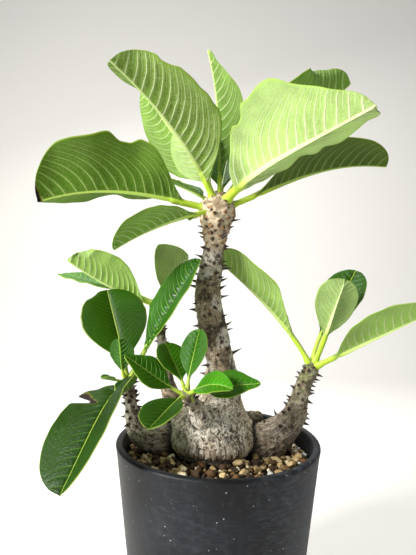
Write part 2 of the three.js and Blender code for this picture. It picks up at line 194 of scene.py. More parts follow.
class Paint:
    """A material and short names for the nodes that it is made of."""

    def __init__(self, name):
        self.material = bpy.data.materials.new(name)
        self.material.use_nodes = True
        self.tree = self.material.node_tree
        self.tree.nodes.clear()
        self.place = self.node("ShaderNodeTexCoord", output="Object")

    def node(self, kind, inputs=(), output=0, **settings):
        """The wire from one output of a new node."""
        made = self.tree.nodes.new(kind)
        for key, value in settings.items():
            setattr(made, key, value)
        for key, value in dict(inputs).items():
            self.feed(made.inputs[key], value)
        return Wire(self, made.outputs[output])

    def feed(self, socket, value):
        if isinstance(value, Wire):
            self.tree.links.new(value.socket, socket)
        else:
            socket.default_value = value

    def parts(self, vector):
        """The three numbers of a vector."""
        first = self.node("ShaderNodeSeparateXYZ", {0: vector})
        return [Wire(self, socket) for socket in first.socket.node.outputs]

    def vector(self, name):
        return self.node("ShaderNodeAttribute", output="Vector", attribute_name=name)

    def attribute(self, name):
        """The three numbers of an attribute."""
        return self.parts(self.vector(name))

    def noise(self, scale, detail=4, roughness=0.55, distortion=0, place=None):
        inputs = {"Scale": scale, "Detail": detail, "Roughness": roughness, "Distortion": distortion}
        return self.node("ShaderNodeTexNoise", {"Vector": place or self.place, **inputs})

    def cells(self, scale, feature="F1", output="Distance"):
        inputs = {"Vector": self.place, "Scale": scale}
        return self.node("ShaderNodeTexVoronoi", inputs, output, feature=feature)

    def mapped(self, rotation, scale):
        """The place turned and stretched."""
        inputs = {"Vector": self.place, "Rotation": rotation, "Scale": scale}
        return self.node("ShaderNodeMapping", inputs)

    def mix(self, share, a, b):
        """Colour a where share is 0 and b where it is 1. A colour is a hex code, three numbers or a wire."""
        made = self.tree.nodes.new("ShaderNodeMix")
        made.data_type = "RGBA"
        a, b = (rgb(colour) if isinstance(colour, str) else colour for colour in (a, b))
        a, b = (colour if isinstance(colour, Wire) else (*colour, 1) for colour in (a, b))
        for key, value in (("Factor_Float", share), ("A_Color", a), ("B_Color", b)):
            self.feed(next(s for s in made.inputs if s.identifier == key), value)
        return Wire(self, next(s for s in made.outputs if s.identifier == "Result_Color"))

    def layers(self, colour, *rows):
        """The colour with each (share, colour) of the rows laid over it in turn."""
        for share, over in rows:
            colour = self.mix(share, colour, over)
        return colour

    def bump(self, height, distance):
        return self.node("ShaderNodeBump", {"Height": height, "Distance": distance, "Strength": 1.0})

    def shader(self, colour, rough, normal, specular=0.5):
        inputs = {"Base Color": colour, "Roughness": rough, "Normal": normal, "Specular IOR Level": specular}
        return self.node("ShaderNodeBsdfPrincipled", inputs)

    def finish(self, shader):
        output = self.tree.nodes.new("ShaderNodeOutputMaterial")
        self.tree.links.new(shader.socket, output.inputs[0])
        return self.material


# ---------------------------------------------------------------- leaves

# The middles of the crowns that the leaves spring from.
CROWNS_MM = {
    "top": (-2, 0, 252),
    "right": (57, 5, 156),
    "left": (-54, -8, 147),
    "middle": (-42, 29, 192),
    "front": (-17, -32, 147),
}
RING_SIZE = 8
STALK_RINGS = 3
BLADE_STATIONS = np.array([0, 0.07, 0.17, 0.28, 0.4, 0.52, 0.64, 0.75, 0.85, 0.93, 0.98, 1])
OPENING = 0.12


def in_order(ring):
    """A ring's points in order round it, by its edges, or by angle where a cap's edges cross the ring."""
    beside = {v: [e.other_vert(v) for e in v.link_edges if e.other_vert(v) in ring] for v in ring}
    if all(len(others) == 2 for others in beside.values()):
        walk = [ring[0], beside[ring[0]][0]]
        while len(walk) < len(ring):
            walk.append(next(v for v in beside[walk[-1]] if v is not walk[-2]))
        return np.array([v.co for v in walk])
    points = np.array([v.co for v in ring])
    centre = points.mean(0)
    flat = (points - centre) @ np.linalg.svd(points - centre)[2][:2].T
    return points[np.argsort(np.arctan2(flat[:, 1], flat[:, 0]))]


def leaf_rings(name):
    """The CAD leaf's rings from foot to tip: crest, then round by its right margin, keel and left margin."""
    bm = welded(name)
    crown = Vector(CROWNS_MM[name.split("_")[1]]) * MM
    start = min(bm.verts, key=lambda v: (v.co - crown).length)
    others = [v for v in bm.verts if v is not start]
    ring = sorted(others, key=lambda v: (v.co - start.co).length)[:RING_SIZE]
    seen, rings = {start, *ring}, [ring]
    while len(bm.verts) - len(seen) > RING_SIZE + 1:
        middle = sum((v.co for v in rings[-1]), Vector()) / RING_SIZE
        near = {e.other_vert(v) for v in rings[-1] for e in v.link_edges} - seen
        rings.append(sorted(near, key=lambda v: (v.co - middle).length)[:RING_SIZE])
        seen |= set(rings[-1])
    rest = [v for v in bm.verts if v not in seen]
    middle = sum((v.co for v in rest), Vector()) / len(rest)
    rings.append(sorted(rest, key=lambda v: -(v.co - middle).length)[:RING_SIZE])

    loops = [in_order(ring) for ring in rings]
    bm.free()

    widths = [max(np.linalg.norm(p[i] - p[(i + 4) % 8]) for i in range(4)) for p in loops]
    widest = int(np.argmax(widths))
    loop = loops[widest]
    pair = int(np.argmax([np.linalg.norm(loop[i] - loop[i + 4]) for i in range(4)]))
    margins = (loop[pair] + loop[pair + 4]) / 2
    ends = ((pair + 2) % 8, (pair + 6) % 8)
    crest, keel = sorted(ends, key=lambda i: np.linalg.norm(loop[i] - margins))
    along = loops[min(widest + 1, len(loops) - 1)].mean(0) - loops[widest - 1].mean(0)
    side = np.cross(loop[crest] - loop[keel], along)
    loop = np.roll(loop, -crest, axis=0)
    if (loop[6] - loop[2]) @ side < 0:
        loop = np.roll(loop[::-1], 1, axis=0)
    loops[widest] = loop

    def aligned(points, to):
        ways = [np.roll(p, k, axis=0) for p in (points, points[::-1]) for k in range(RING_SIZE)]
        shift = to.mean(0) - points.mean(0)
        return min(ways, key=lambda p: ((p + shift - to) ** 2).sum())

    for i in range(widest - 1, -1, -1):
        loops[i] = aligned(loops[i], loops[i + 1])
    for i in range(widest + 1, len(loops)):
        loops[i] = aligned(loops[i], loops[i - 1])
    return np.array(loops)


# How a leaf differs from the plain one. A place is a share of the blade's length from its foot, and a side
# is 1 or -1 for one half and 0 for both.
#   tone         its colours, from TONES
#   vein_pairs   how many side veins each half has
#   quilt        how far it bulges between them, in mm
#   ruffle       how far its margin wanders, in mm
#   bow          how strongly each half arches, in degrees
#   curls        (place, spread, side, degrees, where across the half it starts)
#   bites        (place, spread, side, depth as a share of the half; below 0 it widens the leaf there)
#   twists       (where the turn about the midrib starts, where it is complete, degrees)
#   point, dent  narrows the tip by that share; pulls the tip in by that many mm
#   blade_rows   how finely the blade is divided
#   burn         (place, spread, side) of a dead patch; tip_burn is how dead the tip is
PLAIN = {
    "tone": "mid", "vein_pairs": 15, "quilt": 0.35, "ruffle": 0.5, "bow": 10, "curls": (), "bites": (),
    "twists": (), "point": 0, "dent": 0, "blade_rows": 96, "burn": (), "tip_burn": 0.0,
}
YOUNG = {"tone": "young", "vein_pairs": 10, "quilt": 0.15, "ruffle": 0.3, "blade_rows": 64}
LEAF_LOOKS = {
    "leaf_top_left": {
        "tone": "deep", "vein_pairs": 15, "quilt": 0.6, "ruffle": 1.0, "twists": ((0.6, 1.0, 8),),
        "bites": ((0.47, 0.1, 0, 0.15), (0.22, 0.2, 0, -0.25)),
        "tip_burn": 1.0,
    },
    "leaf_top_left_raised": {
        "tone": "olive", "vein_pairs": 16, "quilt": 0.8, "ruffle": 1.2, "twists": ((0.72, 1.0, 20),),
        "bites": ((0.79, 0.07, 0, 0.08),),
    },
    "leaf_top_left_behind": {"tone": "fresh", "vein_pairs": 16, "quilt": 0.45},
    "leaf_top_small": {"tone": "pale", "vein_pairs": 11, "quilt": 0.2},
    "leaf_top_upright": {"tone": "fresh", "vein_pairs": 14, "point": 0.6, "bites": ((0.55, 0.35, 0, -0.3),)},
    "leaf_top_right_near": {
        "tone": "pale", "vein_pairs": 16, "quilt": 0.45, "ruffle": 1.2,
        "bites": ((0.34, 0.07, -1, 0.12), (1.15, 0.55, -1, 0.5), (0.5, 0.7, 1, 0.25)),
    },
    "leaf_top_right_raised": {"tone": "fresh", "vein_pairs": 16, "curls": ((0.86, 0.13, -1, 80, 0.5),)},
    "leaf_top_right": {"tone": "shade", "vein_pairs": 16, "quilt": 0.5},
    "leaf_top_left_low": {"tone": "fresh", "vein_pairs": 13},
    "leaf_middle_left": {
        "tone": "bright", "vein_pairs": 14, "quilt": 0.6, "curls": ((0.93, 0.08, 0, 80, 0.3),),
    },
    "leaf_middle_right": {"tone": "pale", "vein_pairs": 13, "bites": ((0.45, 0.5, 0, -0.35),)},
    "leaf_middle_back_left": {"tone": "bright"},
    "leaf_left_up": {"tone": "dark", "vein_pairs": 18, "curls": ((0.98, 0.1, 1, -60, 0.5),)},
    "leaf_left_long": {"tone": "glossy", "vein_pairs": 15, "quilt": 1.1},
    "leaf_left_young": {**YOUNG, "tone": "tender", "vein_pairs": 9, "quilt": 0.5},
    "leaf_left_bud": {**YOUNG, "vein_pairs": 8, "quilt": 0.1, "ruffle": 0.1},
    "leaf_left_hanging": {
        "tone": "shaded_forest", "quilt": 0.4, "vein_pairs": 16,
        "bites": ((0.3, 0.045, -1, 0.5), (0.12, 0.16, 1, -0.5)), "burn": ((0.27, 0.05, -1),),
    },
    "leaf_right_long": {"tone": "bright", "vein_pairs": 17, "quilt": 0.45},
    "leaf_right_round": {"tone": "pale", "vein_pairs": 12, "dent": 3.2, "quilt": 0.25},
    "leaf_right_back": {"tone": "dark", "vein_pairs": 13},
    "leaf_right_far": {"tone": "bright", "vein_pairs": 14},
    "leaf_front_near": {**YOUNG, "tone": "lively", "point": 0.35, "curls": ((0.5, 0.6, 1, 22, 0.6),)},
    "leaf_front_left": {**YOUNG, "point": 0.5},
    "leaf_front_right": {**YOUNG, "point": 0.5},
    "leaf_front_up": YOUNG,
    "leaf_front_low": {**YOUNG, "tone": "dark"},
    "leaf_front_back_left": YOUNG,
}

# The upper face, its veins, the lower face, its veins, and how rough the upper face is.
TONES = {
    "deep": ("1c4604", "5c8426", "3f6306", "a2b866", 0.36),
    "olive": ("25500a", "66902f", "6f8f30", "d2dfaa", 0.36),
    # Painted shade: the next two tones are darkened for the shadow that leaf_top_right and leaf_left_hanging
    # lie in.
    "shade": ("1b3d06", "4f7420", "3d5316", "87995c", 0.4),
    "shaded_forest": ("0f3001", "3a6210", "33590a", "86a850", 0.3),
    "dark": ("143c02", "467818", "5f8a2e", "b3cb7c", 0.3),
    "mid": ("245a06", "648f2c", "6c9632", "bcd486", 0.32),
    "glossy": ("1c5209", "6d9a45", "6c9632", "bcd486", 0.2),
    "fresh": ("2f6a0d", "7aa83c", "719838", "c9de98", 0.34),
    "bright": ("33700f", "86b446", "8ab04e", "d8e6a8", 0.34),
    "pale": ("387a12", "93bd50", "a9c870", "e9f2c6", 0.36),
    "young": ("1d5602", "5f9428", "7fb347", "c9e08c", 0.28),
    "tender": ("1d5602", "5f9428", "24560c", "6da048", 0.1),
    "lively": ("2f7c05", "84b83c", "8cbf4c", "d2e893", 0.22),
}


def vein_shift(x_share):
    """How far along the blade a vein has run where it is that far out, both as shares of its length."""
    return 0.28 * x_share + 0.4 * x_share**2 + 6 * x_share**3


def leaf_material(name, tone, vein_pairs):
    upper, upper_vein, lower, lower_vein, gloss = TONES[tone]
    paint = Paint(name)
    u, s, face = paint.attribute("blade")
    x_over_rib, shift, burn = paint.attribute("rib")
    across, from_middle = s.math("ABSOLUTE"), x_over_rib.math("ABSOLUTE")
    drift = (paint.noise(55, 2) - 0.5) * 0.7
    phase = (u - shift) * vein_pairs + s.math("GREATER_THAN", 0.0) * 0.5 + drift
    from_vein = phase.math("PINGPONG", 0.5)
    on_blade = u.spot(0.0, 0.03) * across.spot(1.0, 0.88)
    # Veins thin out towards the margin, where the faint ones between them join in.
    vein = paint.node(
        "ShaderNodeMapRange",
        {"Value": from_vein, "From Min": across * -0.06 + 0.12, "From Max": 0.015},
        interpolation_type="SMOOTHSTEP",
    )
    fork = (phase + 0.5).math("PINGPONG", 0.5).spot(0.09, 0.01) * across.spot(0.3, 0.6)
    vein = vein.most(fork * 0.45) * on_blade
    beside_vein = from_vein.spot(0.34, 0.0) * on_blade
    along_veins = paint.node("ShaderNodeCombineXYZ", {0: phase * 5, 1: s * 3, 2: vein_pairs})
    streak = paint.noise(1.6, 3, 0.6, place=along_veins)
    net = paint.cells(560, "DISTANCE_TO_EDGE").spot(0.14, 0.02) * on_blade
    below = face.spot(0.5, -0.5)
    wide, thin = from_middle.spot(1.15, 0.8), from_middle.spot(0.62, 0.3)
    midrib = (below * (wide - thin) + thin).most(u.spot(0.05, -0.01))
    margin = across.spot(0.962, 0.985)
    patches = paint.noise(42, 3, 0.6)

    dark, light = rgb(upper, 0.6), rgb(upper, 1.45)
    top = paint.layers(
        dark,
        (patches.spot(0.32, 0.7), light),
        (streak.spot(0.45, 0.7) * 0.35, light),
        (across.spot(0.6, 1.0) * 0.45, light),
        (net * 0.1, upper_vein),
        (beside_vein * 0.2, dark),
        (vein * 0.8, rgb(upper_vein, 1.3)),
        (paint.noise(900, 2).spot(0.66, 0.8) * 0.12, "b9bf5a"),
        (midrib * 0.85, "a9bf4c"),
        (margin * 0.7, "a9b84e"),
    )
    pale = rgb(lower, 1.25)
    under = paint.layers(
        rgb(lower, 0.68),
        (patches.spot(0.3, 0.7), pale),
        (streak.spot(0.42, 0.72) * 0.4, pale),
        (beside_vein * 0.16, lower_vein),
        (net * 0.18, lower_vein),
        (vein * 0.85, lower_vein),
        (midrib, paint.layers(lower_vein, (0.5, "8fae2e"), (u.spot(0.3, -0.02), "a3bf34"))),
        (margin * 0.5, "98a843"),
    )
    burn = burn * paint.noise(350, 3).spot(0.2, 0.55)
    colour = paint.layers(
        top, (below, under), (burn.spot(0.12, 0.25), "5f5a1c"), (burn.spot(0.25, 0.5), "1c110a")
    )
    # The veins stand out below and lie in grooves above.
    relief = (vein * 0.7 + net * 0.2) * (below * 1.7 - 0.7) * (1.0 - midrib)
    relief = relief + streak * 0.35 + paint.noise(1300, 3) * 0.25
    normal = paint.bump(relief, 0.0004)
    rough = patches * 0.22 + (gloss - 0.1) + below * 0.25 + burn.spot(0.1, 0.4) * 0.3
    surface = paint.shader(colour, rough, normal, 0.2)
    glow = paint.mix(0.6, colour, "b5d430")
    through_leaf = paint.node("ShaderNodeBsdfTranslucent", {"Color": glow, "Normal": normal})
    thin_share = (1.0 - midrib.most(burn.spot(0.1, 0.3))) * 0.34
    return paint.finish(paint.node("ShaderNodeMixShader", {0: thin_share, 1: surface, 2: through_leaf}))


RIB_COLUMNS = 6
BLADE_COLUMNS = 16
SKIN_MM = 0.27  # half the blade's thickness
STALK_ROW_MM = 1.1
FOOT_MM = 2.6  # how deep the stalk is set in the bark
FLARE = 0.4  # how much wider the stalk's foot is
TIP_FROM = 0.92  # where the rows of the blade get closer
EDGE_FROM = 0.97  # where across a half its rounded edge starts
CREST_MM = 0.45
THIN_RIB_MM = 0.45
THIN_KEEL_MM = 0.12
RIDGE_MM, RIDGE_REACH_MM = 0.16, 0.5  # the line along the middle of the upper face
GROOVE_MM, GROOVE_AT = 0.22, 0.7  # the groove beside it, at that share of the rib's half width


def both_halves(values):
    """Columns from the left margin over the midrib to the right one, from those of each half."""
    return np.concatenate([values[+1][:, ::-1], values[-1][:, 1:]], axis=1)


def around(a, b):
    """Columns over the top and back underneath, from those of the two faces."""
    return np.concatenate([a, b[:, -2:0:-1]], axis=1)


def build_leaf(name, seed):
    """A closed shell along the CAD leaf, from the stalk's foot to the tip."""
    look = {**PLAIN, **LEAF_LOOKS.get(name, {})}
    rng = np.random.default_rng(seed)
    rings = leaf_rings(name) / MM
    middles = (rings[:, 0] + rings[:, 4]) / 2
    run = np.concatenate([[0], np.cumsum(np.linalg.norm(np.diff(middles, axis=0), axis=1))])
    blade_length = run[-1] - run[STALK_RINGS]
    stalk_length = run[STALK_RINGS]
    u_ring = np.concatenate([(run[:STALK_RINGS] - stalk_length) / blade_length, BLADE_STATIONS])
    opened = ramp_between(0, OPENING, u_ring)
    upright = unit(rings[:, 0] - rings[:, 4])
    half_height = np.linalg.norm(rings[:, 0] - rings[:, 4], axis=1) / 2
    crest_height = half_height * (1 - opened) + CREST_MM * opened
    centre = rings[:, 0] - upright * crest_height[:, None]
    stalk_radius = half_height[0]

    knots = np.where(u_ring > 0, np.arcsin(np.clip(u_ring, 0, 1)), u_ring)
    main = np.linspace(0, TIP_FROM, look["blade_rows"])[1:]
    tip = 1 - (1 - TIP_FROM) * (1 - np.linspace(0, 1, 13)[1:]) ** 2
    start = u_ring[0] - FOOT_MM / blade_length
    stalk = np.linspace(start, 0, max(6, int((stalk_length + FOOT_MM) / STALK_ROW_MM)))
    u = np.concatenate([stalk, main, tip])
    at = np.where(u > 0, np.arcsin(np.clip(u, 0, 1)), u)
    centre_line = through(knots, centre, at)
    up = unit(through(knots, upright, at))

    # Each margin's way out from the centre line, and how wide and deep the midrib is.
    reach = {+1: through(knots, rings[:, 6] - centre, at), -1: through(knots, rings[:, 2] - centre, at)}
    along = unit(np.gradient(centre_line, axis=0))
    is_open = ramp_between(0, OPENING, u)
    flare = 1 + FLARE * ramp_between(start + 7 / blade_length, start + 2 / blade_length, u)
    taper = 1 - 0.55 * np.clip(u, 0, 1)
    rib = np.maximum(stalk_radius * taper * flare, THIN_RIB_MM) * (1 - 0.3 * is_open)
    rib_depth = stalk_radius * (1 - ramp_between(-0.05, 1.0, u)) ** 1.15 * 0.85
    rib_depth = np.maximum(rib_depth, THIN_KEEL_MM) * is_open

    rib_share = np.linspace(0, 1, RIB_COLUMNS + 1)
    blade_share = 1 - (1 - np.linspace(0, 1, BLADE_COLUMNS + 1)[1:]) ** 1.35
    upper, lower, tags = {}, {}, {}
    for way in (+1, -1):
        out = reach[way]
        width = np.maximum(np.linalg.norm(out, axis=1), 0.05)
        # The outline.
        ruffle = 1 + look["ruffle"] * 0.02 * wander(rng, u, 0.06) * is_open
        width = width * ruffle * flare
        for where, spread, side, depth in look["bites"]:
            if side in (way, 0):
                width = width * (1 - depth * ramp_between(spread, spread * 0.2, np.abs(u - where)))
        width = width * (1 - look["point"] * ramp_between(0.55, 1.0, u))

        # The way out across the half and the way up from it, turned by the twists.
        out = unit(out)
        out = unit(out - along * (out * along).sum(1, keepdims=True))
        turn_by = sum(degrees * ramp_between(low, high, u) for low, high, degrees in look["twists"])
        turn_by = np.radians(turn_by * np.ones_like(u))[:, None] * way
        lift = unit(np.cross(along, out)) * way
        cos, sin = np.cos(turn_by), np.sin(turn_by)
        out, lift = out * cos + lift * sin, lift * cos - out * sin

        # The section: columns over the rib and over the blade, arched, curled, ruffled and quilted.
        edge_of_rib = np.minimum(rib, 0.8 * width)[:, None]
        beyond = edge_of_rib + (width[:, None] - edge_of_rib) * blade_share
        x = np.concatenate([edge_of_rib * rib_share, beyond], axis=1)
        across = x / width[:, None]
        angle = np.radians(look["bow"]) * (1 - 2 * across) * is_open[:, None]
        for where, spread, side, degrees, start in look["curls"]:
            if side in (way, 0):
                here = ramp_between(spread, spread * 0.3, np.abs(u - where))[:, None]
                here = here * ramp_between(1.0, 0.96, u)[:, None]
                angle = angle + np.radians(degrees) * ramp_between(start, 1, across) * here
        step = np.diff(x, axis=1, prepend=0)
        flat = np.cumsum(np.cos(angle) * step, axis=1)
        high = np.cumsum(np.sin(angle) * step, axis=1)
        waves = look["ruffle"] * wander(rng, u, 0.09)[:, None] * across**2.5 * is_open[:, None]
        shift = vein_shift(x / blade_length)
        phase = (u[:, None] - shift) * look["vein_pairs"] + (0.5 if way > 0 else 0)
        bulge = np.abs(np.sin(np.pi * phase)) ** 0.7 - 0.5
        where_quilted = ramp_between(0.04, 0.2, across) * ramp_between(1.0, 0.75, across)
        bulge = bulge * look["quilt"] * where_quilted * is_open[:, None]
        high = high + waves + bulge
        straight = out[:, None, :] * flat[..., None] + lift[:, None, :] * high[..., None]
        middle = centre_line[:, None, :] + straight

        # The two faces, a skin apart on the blade and round on the stalk.
        over_rib = x / rib[:, None]
        to_up = ramp_between(1.4, 0.0, over_rib)[..., None]
        facing = unit(lift[:, None, :] * (1 - to_up) + up[:, None, :] * to_up)
        round_edge = np.sqrt(np.clip(1 - across**2, 0, 1))
        open_share = is_open[:, None]
        past_edge = np.clip((across - EDGE_FROM) / (1 - EDGE_FROM), 0, 1)
        edge_round = np.sqrt(np.clip(1 - past_edge**2, 0, 1))
        tip_round = ramp_between(1.0, 0.985, u)[:, None] * 0.8 + 0.2
        skin = SKIN_MM * edge_round * tip_round
        rib_shape = np.cos(np.pi / 2 * np.clip(over_rib / 1.15, 0, 1)) ** 1.2
        groove = GROOVE_MM * np.exp(-((over_rib - GROOVE_AT) ** 2) * 6) * edge_round
        above = skin - groove + RIDGE_MM * np.exp(-((x / RIDGE_REACH_MM) ** 2))
        beneath = skin + rib_depth[:, None] * rib_shape
        round_stalk = (rib * (1 - is_open) + width * is_open)[:, None]
        above = above * open_share + round_stalk * round_edge * 0.82 * (1 - open_share)
        beneath = beneath * open_share + round_stalk * round_edge * (1 - open_share)
        upper[way] = middle + facing * above[..., None]
        lower[way] = middle - facing * beneath[..., None]

        # Where it is dead.
        marks = look["tip_burn"] * ramp_between(0.965, 1.0, u)[:, None] * np.ones_like(across)
        for where, spread, side in look["burn"]:
            if side == way:
                near = np.exp(-(((u[:, None] - where) / spread) ** 2))
                marks = marks + near * ramp_between(0.35, 1.0, across) * 1.6
                tear = np.exp(-(((u[:, None] - where - 0.1 * (1 - across)) / 0.012) ** 2))
                marks = marks + tear * ramp_between(0.3, 0.6, across) * 0.6
        run_along = np.broadcast_to(u[:, None], across.shape)
        tags[way] = (run_along, across * way, over_rib, shift, np.clip(marks, 0, 1))

    if look["dent"]:
        for way in (+1, -1):
            across = np.abs(tags[way][1])
            pull = look["dent"] * ramp_between(0.8, 1.0, u)[:, None] * np.exp(-((across / 0.4) ** 2))
            push = along[:, None, :] * pull[..., None]
            upper[way] = upper[way] - push
            lower[way] = lower[way] - push

    top = both_halves(upper)
    loop = around(top, both_halves(lower))
    rows, columns = loop.shape[:2]
    face = np.ones((rows, columns))
    face[:, top.shape[1] :] = -1
    face[:, 0] = face[:, top.shape[1] - 1] = 0

    def tag(numbers):
        """That number of both halves' tags, for each point."""
        values = both_halves({way: tags[way][numbers] for way in (+1, -1)})
        return around(values, values)

    made = mesh_piece(
        name.replace("leaf_", "blade_"),
        loop.reshape(-1, 3),
        tube_faces(rows, columns, inward=True),
        leaf_material(name, look["tone"], look["vein_pairs"]),
        "leaf",
        {
            "blade": np.stack([tag(0), tag(1), face], axis=-1),
            "rib": np.stack([tag(2), tag(3), tag(4)], axis=-1),
        },
    )
    bm = bmesh.new()
    bm.from_mesh(made.data)
    bmesh.ops.recalc_face_normals(bm, faces=bm.faces)
    bm.to_mesh(made.data)
    bm.free()
    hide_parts(name)


for seed, leaf_name in enumerate(sorted(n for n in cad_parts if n.startswith("leaf_"))):
    build_leaf(leaf_name, seed + 1)

# ---------------------------------------------------------------- stem

pot_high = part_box("pot")[1]
POT_TOP_MM = pot_high.z / MM
RIM_MM = pot_high.x / MM
MIX_TOP_MM = POT_TOP_MM - 9

# The limbs that the bark is drawn round, through x, y, height over the mix and radius. They are those of
# the CAD stem, moved and widened by a millimetre or two to what the photo shows.
LIMBS_MM = {
    "trunk": [
        (-2, 4, -32, 5), (-3, 4, -18, 14), (-3, 4, -6, 24), (-3, 4, 4, 28), (-3, 4, 13, 26.8),
        (-2, 4, 22, 22), (0, 4, 31, 15.6), (1.5, 4, 40, 11.2), (1, 4, 52, 8.8), (-3, 4, 68, 8.7),
        (-7, 3, 88, 8.4), (-7, 2, 103, 7.6), (-5, 2, 116, 6.6), (-4, 1, 126, 6.4), (-3.5, 0.5, 134, 7.4),
        (-3, 0, 141, 9.8), (-2, 0, 146, 10.8),
    ],
    "right": [
        (10, 3, 1, 15), (22, 2, 3.5, 12.6), (33, 2, 8, 11.2), (41, 3, 15, 9), (47, 3, 24, 7),
        (50, 4, 34, 5.2), (53, 4, 43, 4.6), (57, 5, 50, 4.6),
    ],
    "left": [
        (-20, 2, 5, 11), (-32, 0, 7, 9.5), (-42, -3, 9, 8.5), (-48, -5, 15, 6.2), (-51, -6, 24, 4),
        (-52, -7, 33, 3.2), (-54, -8, 41, 3.6),
    ],
    "middle": [
        (-18, 12, 10, 9), (-27, 17, 20, 7), (-33, 21, 33, 5.2), (-37, 24, 48, 4), (-39, 26, 64, 3.2),
        (-41, 28, 78, 3.4), (-42, 29, 86, 4),
    ],
    "front": [
        (-6, -4, 17, 10), (-9, -13, 22, 7.6), (-12, -21, 31, 4.6), (-15, -28, 37, 3.3), (-17, -32, 41, 3.4),
    ],
    "stub": [(10, 6, 13, 6.5), (18, 7, 17.5, 5), (24, 8, 18.5, 4)],
}
LIMB_STEP_MM = 1.0
LIMB_SIDES = 40
VOXEL_MM = 0.8
BARK_SWEEPS = 12
CROWN_KNOBS = 18
SCARS = 52
SCAR_STEP = 0.42  # how many steps down the trunk each scar lies under the one before
GOLDEN_TURN = 2.39996
# How many thorns each limb has besides the CAD's, from what share of its length, and how long they are.
EXTRA_THORNS = {
    "trunk": (64, 0.42, 5.9), "right": (34, 0.35, 3.4), "left": (34, 0.55, 3.8), "middle": (26, 0.3, 3.2),
    "front": (14, 0.45, 2.4),
}
SHARP_CORNER = 1.7  # the angles round a thorn's tip in the CAD mesh sum to less
# How far the bark rises or falls.
LUMP_MM, FLECK_MM, FURROW_MM, RIB_MM = 1.3, 0.3, 4.2, 0.6
THORN_SWELL_MM = 0.6
CAUDEX_END_MM, CAUDEX_FULL_MM = 48, 22  # how high over the mix the trunk's bark starts and has turned
FAR_MM = 60  # how far a ray looks for the bark
CREASE_MM = 1.3
CREASE_FROM_MM = 12  # creases lie only where the side limbs leave, this far from the middle
UNDERCUT_MM = 3.6  # how far the caudex draws in where it meets the mix
SCAR_RISE_MM, SCAR_PIT_MM = 1.1, 0.5


def limb_line(points):
    """Places, directions and radii every LIMB_STEP_MM along a limb."""
    points = np.array(points, float)
    run = np.concatenate([[0], np.cumsum(np.linalg.norm(np.diff(points[:, :3], axis=0), axis=1))])
    at = np.linspace(0, run[-1], int(run[-1] / LIMB_STEP_MM) + 2)
    found = through(run, points, at)
    found[:, 2] += MIX_TOP_MM
    return found[:, :3], unit(np.gradient(found[:, :3], axis=0)), found[:, 3], at


def limb_mesh(line, along, radius):
    """A round closed tube with a dome over its end."""
    side = np.array([0.0, 1.0, 0.0])
    turn = np.linspace(0, 2 * np.pi, LIMB_SIDES, endpoint=False)
    rings = []
    for i in range(len(line)):
        side = unit(side - along[i] * (side @ along[i]))
        across = np.cross(along[i], side)
        rings.append(line[i] + radius[i] * (np.outer(np.cos(turn), side) + np.outer(np.sin(turn), across)))
    for angle in np.radians((20, 40, 60, 78)):
        centre = line[-1] + along[-1] * radius[-1] * np.sin(angle)
        spread = np.outer(np.cos(turn), side) + np.outer(np.sin(turn), across)
        rings.append(centre + radius[-1] * np.cos(angle) * spread)
    return np.concatenate(rings), tube_faces(len(rings), LIMB_SIDES)


def thorn_tips():
    """The tips of the CAD stem's thorns and the ways they point, by the sharp points of its mesh."""
    bm = welded("stem")
    tips = []
    for v in bm.verts:
        if sum(corner.calc_angle() for corner in v.link_loops) < SHARP_CORNER:
            root = sum((e.other_vert(v).co for e in v.link_edges), Vector()) / len(v.link_edges)
            tips.append((np.array(v.co) / MM, np.array((v.co - root).normalized())))
    bm.free()
    return tips


def way_round(axis, turn):
    """The way out from a limb's axis at that angle round it."""
    side = unit(np.cross(axis, (0.3, 0.9, 0.1)))
    return np.cos(turn) * side + np.sin(turn) * np.cross(axis, side)


def joined_limbs(lines):
    """One closed mesh round all the limbs, in metres."""
    points, faces = [], []
    for line, along, radius, _ in lines.values():
        found, shape = limb_mesh(line, along, radius)
        faces += [[i + len(points) for i in face] for face in shape]
        points += found.tolist()
    rough = bpy.data.meshes.new("stem_rough")
    rough.from_pydata([(x * MM, y * MM, z * MM) for x, y, z in points], [], faces)
    holder = linked("stem_rough", rough)
    remesh = holder.modifiers.new("remesh", "REMESH")
    remesh.mode = "VOXEL"
    remesh.voxel_size = VOXEL_MM * MM
    smooth = holder.modifiers.new("smooth", "SMOOTH")
    smooth.factor = 0.5
    smooth.iterations = BARK_SWEEPS
    depsgraph = bpy.context.evaluated_depsgraph_get()
    data = bpy.data.meshes.new_from_object(holder.evaluated_get(depsgraph))
    bpy.data.objects.remove(holder)
    data.name = "stem_bark"
    return data


def where_on_limbs(co, lines):
    """Each point's place round and along its nearest limb, and how near it is to the two nearest ones."""
    count = len(co)
    best, second = np.full((2, count), np.inf)
    radial, ahead = np.zeros((2, count, 3))
    run, share, limb = np.zeros((3, count))
    for number, (line, along, radius, at) in enumerate(lines.values()):
        tree = tree_of(line)
        near = np.array([tree.find(Vector(p))[1] for p in co])
        away = co - line[near]
        reach = np.linalg.norm(away, axis=1) / radius[near]
        closer = reach < best
        second = np.where(closer, best, np.minimum(second, reach))
        best[closer] = reach[closer]
        radial[closer] = away[closer]
        ahead[closer] = along[near][closer]
        run[closer] = at[near][closer]
        share[closer] = (at[near] / at[-1])[closer]
        limb[closer] = number
    return radial, ahead, run, share, limb, best, second


def struck(surface, start, way, reach_mm):
    """Where a ray first meets the surface, or None."""
    place = surface.ray_cast(Vector(start), Vector(way), reach_mm)[0]
    return None if place is None else np.array(place)


